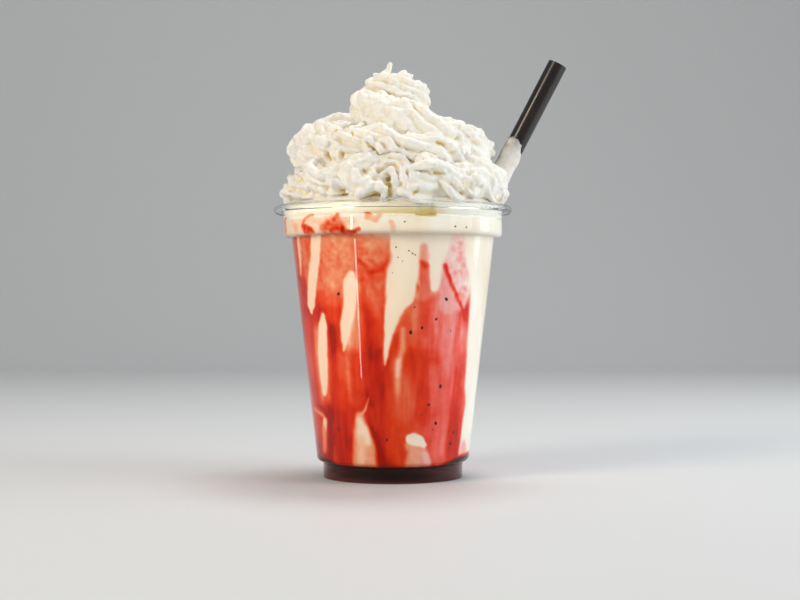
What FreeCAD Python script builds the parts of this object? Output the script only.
"""A strawberry milkshake in its clear cup, with a leaning straw and a piped swirl of whipped cream.

Lengths are in millimetres. The cup stands on its foot ring at height 0, centred on the Z axis, and its
front is towards -Y. Every driving size is a cell of the spreadsheet Sizes. The cup's radii and heights
go up step by step from the foot, so any one of them can change and what lies above it follows.
"""
import FreeCAD, Part

import math
import os

import Sketcher

Vector = FreeCAD.Vector

doc = FreeCAD.newDocument("Milkshake")

# ---------------------------------------------------------------- driving sizes

SIZES = [
    # the clear cup, formed from thin sheet: one wall all over, a folded foot, a rolled brim
    ("wall", 0.5, "thickness of the clear sheet"),
    ("foot_step", 2.4, "how far the foot ring stands in from the body's lower edge"),
    ("foot_fold", 1.1, "thickness of the folded foot ring"),
    ("foot_height", 6.6, "height of the foot ring, where the body begins"),
    ("floor_drop", 0.6, "how far the floor's upper face lies under the body's lower edge"),
    ("body_bottom_radius", 31.1, "outside of the tapered body, at its bottom"),
    ("body_top_radius", 41.6, "outside of the tapered body, at its top"),
    ("body_height", 91.2, "height of the tapered body"),
    ("body_round", 2.0, "outside rounding of the body's lower edge"),
    ("ledge_width", 3.3, "how far the collar stands out from the body"),
    ("ledge_rise", 0.5, "rise of the ledge between body and collar"),
    ("collar_height", 6.7, "height of the upright collar"),
    ("collar_round", 1.6, "outside rounding of the collar's lower edge"),
    ("bead_depth", 0.35, "how deep the bead above the collar goes in"),
    ("bead_height", 0.7, "half the height of that bead"),
    ("neck_flare", 1.3, "how far the neck opens out from the collar to the brim"),
    ("neck_height", 2.95, "height of the neck above the bead"),
    ("curl_radius", 1.65, "outside radius of the brim's curl"),
    ("curl_end", 60.0, "how far below level the curl turns back, in degrees"),
    # the drink
    ("pool_depth", 4.5, "strawberry sauce that has gathered on the floor"),
    ("headroom", 6.4, "from the milkshake's surface up to the top of the brim"),
    # the straw, which stands on the floor and leans over to the other side of the neck
    ("straw_radius", 4.0, "outside of the straw"),
    ("straw_wall", 0.3, "thickness of the straw"),
    ("straw_length", 183.0, "length of the straw"),
    ("straw_depth", 6.0, "how far the straw stands behind the middle of the cup"),
    ("straw_floor_gap", 0.3, "gap between the straw's lower edge and the floor"),
    ("straw_foot_gap", 7.0, "from the floor's edge to the straw's foot, on the far side"),
    ("straw_neck_gap", 4.9, "from the straw to the inside of the neck, on the side it leans to"),
    # the whipped cream, one long rope piped round and round through a star nozzle
    ("mouth_gap", 0.7, "how far the cream stays inside the brim"),
    ("swirl_pitch", 13.5, "rise of the rope in one turn"),
    ("swirl_start", 0.3, "turn at which the rope lies at the brim"),
    ("groove_depth", 5.0, "depth of the groove between two turns of the rope"),
    ("fin_depth", 1.15, "height of the fins that the star nozzle leaves"),
    ("fins_per_turn", 26, "fins round one turn"),
    ("fins_across", 2, "fins that one turn of the rope carries across its width"),
    ("tip_lean", -1.5, "how far the tip has drifted towards +X"),
]

# the swirl's outline from the brim up: how much each step rises, and how far its crests reach from the
# axis, as a share of the mouth that the cream fills
OUTLINE = [
    ("shoulder", 3.2, 1.040),
    ("first_turn", 6.3, 1.049),
    ("second_turn", 13.0, 0.987),
    ("third_turn", 7.5, 0.912),
    ("set_back", 4.5, 0.708),
    ("fourth_turn", 6.0, 0.509),
    ("fifth_turn", 6.0, 0.367),
    ("top_turn", 4.5, 0.257),
    ("tip_foot", 3.8, 0.102),
    ("tip", 3.6, 0.024),
]

sheet = doc.addObject("Spreadsheet::Sheet", "Sizes")
outline_sizes = []
for step, step_rise, step_reach in OUTLINE:
    outline_sizes.append((step + "_rise", step_rise, "rise of this step of the swirl's outline"))
    outline_sizes.append((step + "_reach", step_reach, "reach of its crests, as a share of the mouth"))
for row, (alias, value, meaning) in enumerate(SIZES + outline_sizes, start=1):
    sheet.set("A%d" % row, str(value))
    sheet.setAlias("A%d" % row, alias)
    sheet.set("B%d" % row, meaning)
doc.recompute()

# heights and radii that follow from the driving sizes, as sums of their names
FLOOR = "foot_height - floor_drop"
BODY_TOP = "foot_height + body_height"
COLLAR_BOTTOM = BODY_TOP + " + ledge_rise"
COLLAR_TOP = COLLAR_BOTTOM + " + collar_height"
BEAD_MIDDLE = COLLAR_TOP + " + bead_height"
BEAD_TOP = BEAD_MIDDLE + " + bead_height"
NECK_TOP = BEAD_TOP + " + neck_height"
BRIM = NECK_TOP + " + curl_radius"
DRINK_LEVEL = BRIM + " - headroom"
POOL_TOP = FLOOR + " + pool_depth"

FOOT = "body_bottom_radius - foot_step"
FOOT_INSIDE = FOOT + " - foot_fold"
COLLAR = "body_top_radius + ledge_width"
NECK = COLLAR + " + neck_flare"
CURL_CENTRE = NECK + " - wall + curl_radius"
RIM = CURL_CENTRE + " + curl_radius"
MOUTH = NECK + " - wall - mouth_gap"


def size(formula):
    """The number that a sum of named sizes comes to."""
    total = 0.0
    sign = 1
    for word in formula.split():
        if word in ("+", "-"):
            sign = 1 if word == "+" else -1
        elif word != "0":
            total += sign * float(sheet.get(word))
    return total


def cell(formula):
    """The same sum as an expression that reads the sheet."""
    words = [word if word in ("+", "-", "0") else "Sizes." + word for word in formula.split()]
    return "(" + " ".join(words) + ")"


def minus(formula):
    """A sum with every sign turned round, to be added to another one."""
    turned = {"+": "-", "-": "+"}
    return " - " + " ".join(turned.get(word, word) for word in formula.split())


def bind(thing, **formulas):
    """Tie properties of an object to sums of named sizes."""
    for name, formula in formulas.items():
        thing.setExpression(name, cell(formula))


# ---------------------------------------------------------------- forms turned about the axis

def new_sketch(body, name):
    """An empty sketch in a body's own upright plane, with its V axis along Z."""
    upright = next(feature for feature in body.Origin.OriginFeatures if feature.Role == "XZ_Plane")
    sketch = body.newObject("Sketcher::SketchObject", name)
    sketch.AttachmentSupport = (upright, [""])
    sketch.MapMode = "FlatFace"
    return sketch


def turn(body, sketch, name):
    """Turn a sketch a full circle about the Z axis."""
    turned = body.newObject("PartDesign::Revolution", name)
    turned.Profile = sketch
    turned.ReferenceAxis = (sketch, ["V_Axis"])
    turned.Angle = 360
    doc.recompute()


def add_measure(sketch, rule, expression):
    """Add a constraint to a sketch and tie its value to an expression."""
    number = sketch.addConstraint(Sketcher.Constraint(*rule))
    sketch.setExpression("Constraints[%d]" % number, expression)


def pin_start(sketch, line, radius, height):
    """Hold the start of a line at a radius and a height that follow the sheet."""
    if radius == "0":
        sketch.addConstraint(Sketcher.Constraint("PointOnObject", line, 1, -2))
    else:
        add_measure(sketch, ("DistanceX", -1, 1, line, 1, size(radius)), cell(radius))
    if height == "0":
        sketch.addConstraint(Sketcher.Constraint("PointOnObject", line, 1, -1))
    else:
        add_measure(sketch, ("DistanceY", -1, 1, line, 1, size(height)), cell(height))


def turned_form(name, corners):
    """A body turned from a closed outline whose corners are (radius, height) sums of named sizes."""
    body = doc.addObject("PartDesign::Body", name)
    sketch = new_sketch(body, name + "Outline")
    places = [Vector(size(radius), size(height), 0) for radius, height in corners]
    for here, there in zip(places, places[1:] + places[:1]):
        sketch.addGeometry(Part.LineSegment(here, there))
    for line in range(len(corners)):
        follower = (line + 1) % len(corners)
        sketch.addConstraint(Sketcher.Constraint("Coincident", line, 2, follower, 1))
    for line, (radius, height) in enumerate(corners):
        pin_start(sketch, line, radius, height)
    turn(body, sketch, name + "Turned")
    return body


def lies_on_circle(edge, radius, height):
    """Whether an edge is the circle about the axis at a radius and a height."""
    if not isinstance(edge.Curve, Part.Circle):
        return False
    near = 1e-4
    return abs(edge.Curve.Radius - size(radius)) < near and abs(edge.Curve.Center.z - size(height)) < near


def round_edge(body, name, rounding, radius, height):
    """Round the circular edge of a turned body that lies at a radius and a height."""
    base = body.Tip
    found = [n for n, edge in enumerate(base.Shape.Edges, start=1) if lies_on_circle(edge, radius, height)]
    if len(found) != 1:
        raise RuntimeError("no single edge to round for " + name)
    rounded = body.newObject("PartDesign::Fillet", name)
    rounded.Base = (base, ["Edge%d" % found[0]])
    bind(rounded, Radius=rounding)
    doc.recompute()


def cup_side(inset, lift):
    """The cup's side above its body, moved in by one sum of sizes, with its ledge moved up by another."""
    return [
        ("body_top_radius" + inset, BODY_TOP + lift),
        (COLLAR + inset, COLLAR_BOTTOM + lift),
        (COLLAR + inset, COLLAR_TOP),
        (COLLAR + " - bead_depth" + inset, BEAD_MIDDLE),
        (COLLAR + inset, BEAD_TOP),
        (NECK + inset, NECK_TOP),
        ("0", NECK_TOP),
    ]


outer_form = turned_form("OuterForm", [
    ("0", FLOOR + " - wall"),
    (FOOT_INSIDE, FLOOR + " - wall"),
    (FOOT_INSIDE, "0"),
    (FOOT, "0"),
    (FOOT, "foot_height"),
    ("body_bottom_radius", "foot_height"),
] + cup_side("", ""))
round_edge(outer_form, "BodyRound", "body_round", "body_bottom_radius", "foot_height")
round_edge(outer_form, "CollarRound", "collar_round", COLLAR, COLLAR_BOTTOM)

INNER_BODY = "body_bottom_radius - wall"
INNER_COLLAR = COLLAR + " - wall"
inner_form = turned_form("InnerForm", [
    ("0", FLOOR),
    (FOOT_INSIDE, FLOOR),
    (FOOT, "foot_height + wall"),
    (INNER_BODY, "foot_height + wall"),
] + cup_side(" - wall", " + wall"))
round_edge(inner_form, "InnerBodyRound", "body_round - wall", INNER_BODY, "foot_height + wall")
round_edge(inner_form, "InnerCollarRound", "collar_round - wall", INNER_COLLAR, COLLAR_BOTTOM + " + wall")


# ---------------------------------------------------------------- the cup and its rolled brim

def curl_sketch(body):
    """The brim's section: a strip of sheet that rolls over from the neck, outwards and down."""
    sketch = new_sketch(body, "CurlSection")
    centre = Vector(size(CURL_CENTRE), size(NECK_TOP), 0)
    outside = size("curl_radius")
    inside = size("curl_radius - wall")
    stop = math.radians(-size("curl_end"))
    up = Vector(0, 0, 1)
    for radius in (outside, inside):
        sketch.addGeometry(Part.ArcOfCircle(Part.Circle(centre, up, radius), stop, math.pi))
    for angle in (math.pi, stop):
        ray = Vector(math.cos(angle), math.sin(angle), 0)
        sketch.addGeometry(Part.LineSegment(centre + ray * inside, centre + ray * outside))
    outer_arc, inner_arc, neck_end, free_end = range(4)
    for rule in [
        ("Coincident", outer_arc, 3, inner_arc, 3),
        ("Coincident", inner_arc, 2, neck_end, 1),
        ("Coincident", outer_arc, 2, neck_end, 2),
        ("Coincident", inner_arc, 1, free_end, 1),
        ("Coincident", outer_arc, 1, free_end, 2),
        ("Horizontal", neck_end),
        ("PointOnObject", outer_arc, 3, neck_end),
        ("PointOnObject", outer_arc, 3, free_end),
    ]:
        sketch.addConstraint(Sketcher.Constraint(*rule))
    add_measure(sketch, ("DistanceX", -1, 1, outer_arc, 3, centre.x), cell(CURL_CENTRE))
    add_measure(sketch, ("DistanceY", -1, 1, outer_arc, 3, centre.y), cell(NECK_TOP))
    add_measure(sketch, ("Radius", outer_arc, outside), cell("curl_radius"))
    add_measure(sketch, ("Radius", inner_arc, inside), cell("curl_radius - wall"))
    add_measure(sketch, ("Angle", free_end, stop), "-Sizes.curl_end * 1 deg")
    return sketch


curl = doc.addObject("PartDesign::Body", "Curl")
turn(curl, curl_sketch(curl), "CurlTurned")

cup_wall = doc.addObject("Part::Cut", "CupWall")
cup_wall.Base = outer_form
cup_wall.Tool = inner_form

cup = doc.addObject("Part::Fuse", "Cup")
cup.Base = cup_wall
cup.Tool = curl
cup.Label = "cup"


# ---------------------------------------------------------------- the straw

# where the straw's axis meets the floor, and where it passes the top of the neck
FOOT_OUT = cell(FOOT_INSIDE + " - straw_foot_gap - straw_radius")
NECK_OUT = cell(NECK + " - wall - straw_neck_gap - straw_radius")
STRAW_RISE = cell(NECK_TOP + minus(FLOOR) + " - straw_floor_gap")
LEAN = "atan((%s + %s) / %s)" % (NECK_OUT, FOOT_OUT, STRAW_RISE)


def straw_rod(name, radius):
    """A rod along the straw's axis, whose lower end just clears the floor."""
    rod = doc.addObject("Part::Cylinder", name)
    bind(rod, Radius=radius, Height="straw_length")
    rod.Placement.Rotation = FreeCAD.Rotation(Vector(0, 1, 0), 1)
    rod.setExpression("Placement.Rotation.Angle", LEAN)
    start = "Sizes.straw_radius * tan(%s)" % LEAN
    rod.setExpression("Placement.Base.x", "%s * sin(%s) - %s" % (start, LEAN, FOOT_OUT))
    rod.setExpression("Placement.Base.y", cell("straw_depth"))
    foot_level = cell(FLOOR + " + straw_floor_gap")
    rod.setExpression("Placement.Base.z", "%s * cos(%s) + %s" % (start, LEAN, foot_level))
    return rod


straw = doc.addObject("Part::Cut", "Straw")
straw.Base = straw_rod("StrawOutside", "straw_radius")
straw.Tool = straw_rod("StrawBore", "straw_radius - straw_wall")
straw.Label = "straw"


# ---------------------------------------------------------------- the drink

def filling(name, bottom, top):
    """What fills the cup between two heights."""
    span = doc.addObject("Part::Cylinder", name + "Span")
    bind(span, Radius=RIM, Height=top + minus(bottom))
    span.setExpression("Placement.Base.z", cell(bottom))
    fill = doc.addObject("Part::Common", name)
    fill.Base = inner_form
    fill.Tool = span
    return fill


def cut_round_straw(name, label, food):
    """Food with the straw's way cut out of it."""
    pierced = doc.addObject("Part::Cut", name)
    pierced.Base = food
    pierced.Tool = straw_rod(name + "StrawWay", "straw_radius")
    pierced.Label = label
    return pierced


pool = cut_round_straw("Pool", "sauce_pool", filling("PoolFill", FLOOR, POOL_TOP))
shake = cut_round_straw("Shake", "milkshake", filling("ShakeFill", POOL_TOP, DRINK_LEVEL))


# ---------------------------------------------------------------- the whipped cream

POLES_PER_FIN = 5
ROW_SPACING = 1.9


def ease(share):
    """An even passage from 0 to 1."""
    share = min(1.0, max(0.0, share))
    return share * share * (3 - 2 * share)


def swirl_outline():
    """The outline's corners from the brim up, as (height above the brim, reach)."""
    mouth = size(MOUTH)
    corners = [(0.0, mouth)]
    for step, _, _ in OUTLINE:
        corners.append((corners[-1][0] + size(step + "_rise"), mouth * size(step + "_reach")))
    return corners


def reach_at(corners, above):
    """Reach of the outline at a height above the brim."""
    for (low, low_reach), (high, high_reach) in zip(corners, corners[1:]):
        if above <= high:
            return low_reach + (high_reach - low_reach) * (above - low) / (high - low)
    return corners[-1][1]


def swirl_reach(corners, angle, above):
    """Reach of the piped rope's surface: turns that climb clockwise, with slanting fins on them."""
    reach = reach_at(corners, above)
    top = corners[-1][0]
    turn_here = above / size("swirl_pitch") + angle / (2 * math.pi) + size("swirl_start")
    groove = (0.5 + 0.5 * math.cos(2 * math.pi * turn_here)) ** 3
    fin_here = size("fins_per_turn") * angle / (2 * math.pi) + size("fins_across") * turn_here
    fin = math.cos(2 * math.pi * fin_here) * (1 - 0.7 * groove)
    relief = ease(above / 4.0) * ease(reach / 26.0) * ease((top - above) / 4.0)
    return reach - relief * (size("groove_depth") * groove - size("fin_depth") * fin)


def swirl_solid():
    """The swirl as one smooth closed surface over rings of poles, with a flat bottom and a blunt tip."""
    corners = swirl_outline()
    top = corners[-1][0]
    around = int(size("fins_per_turn")) * POLES_PER_FIN
    rows = int(round(top / ROW_SPACING))
    poles = []
    for column in range(around):
        angle = 2 * math.pi * column / around
        ray = Vector(math.cos(angle), math.sin(angle), 0)
        stack = [ray * size(MOUTH) + Vector(0, 0, size(NECK_TOP))]
        for row in range(rows + 1):
            above = top * row / rows
            drift = size("tip_lean") * (above / top) ** 2
            stack.append(ray * swirl_reach(corners, angle, above) + Vector(drift, 0, size(BRIM) + above))
        poles.append(stack)
    degree = 3
    inner_knots = rows + 1 - degree
    skin = Part.BSplineSurface()
    skin.buildFromPolesMultsKnots(
        poles,
        [1] * (around + 1),
        [degree + 1] + [1] * inner_knots + [degree + 1],
        [float(knot) for knot in range(around + 1)],
        [float(knot) for knot in range(inner_knots + 2)],
        True,
        False,
        degree,
        degree,
    )
    side = skin.toShape()
    level_edges = [edge for edge in side.Edges if edge.isClosed() and edge.BoundBox.ZLength < 1e-6]
    ends = [Part.Face(Part.Wire([edge])) for edge in level_edges]
    shell = Part.makeShell([side] + ends)
    shell.sewShape()
    return Part.Solid(shell)


swirl = doc.addObject("Part::Feature", "Swirl")
swirl.Shape = swirl_solid()
swirl.Placement = FreeCAD.Placement()

cream_whole = doc.addObject("Part::Fuse", "CreamWhole")
cream_whole.Base = swirl
cream_whole.Tool = filling("CreamPlug", DRINK_LEVEL, NECK_TOP)
cream = cut_round_straw("Cream", "whipped_cream", cream_whole)


# ---------------------------------------------------------------- checks and files

doc.recompute()
for thing in doc.Objects:
    if "Invalid" in thing.State or "Error" in thing.State:
        raise RuntimeError("failed: %s %s" % (thing.Name, thing.State))

nodes = [cup, pool, shake, cream, straw]
for node in nodes:
    if node.Shape.isNull() or not node.Shape.isValid():
        raise RuntimeError("bad shape: " + node.Label)

os.makedirs("parts", exist_ok=True)
for node in nodes:
    node.Shape.exportStep("parts/%s.step" % node.Label)
    print("%-14s %d solid, %9.1f mm3" % (node.Label, len(node.Shape.Solids), node.Shape.Volume))
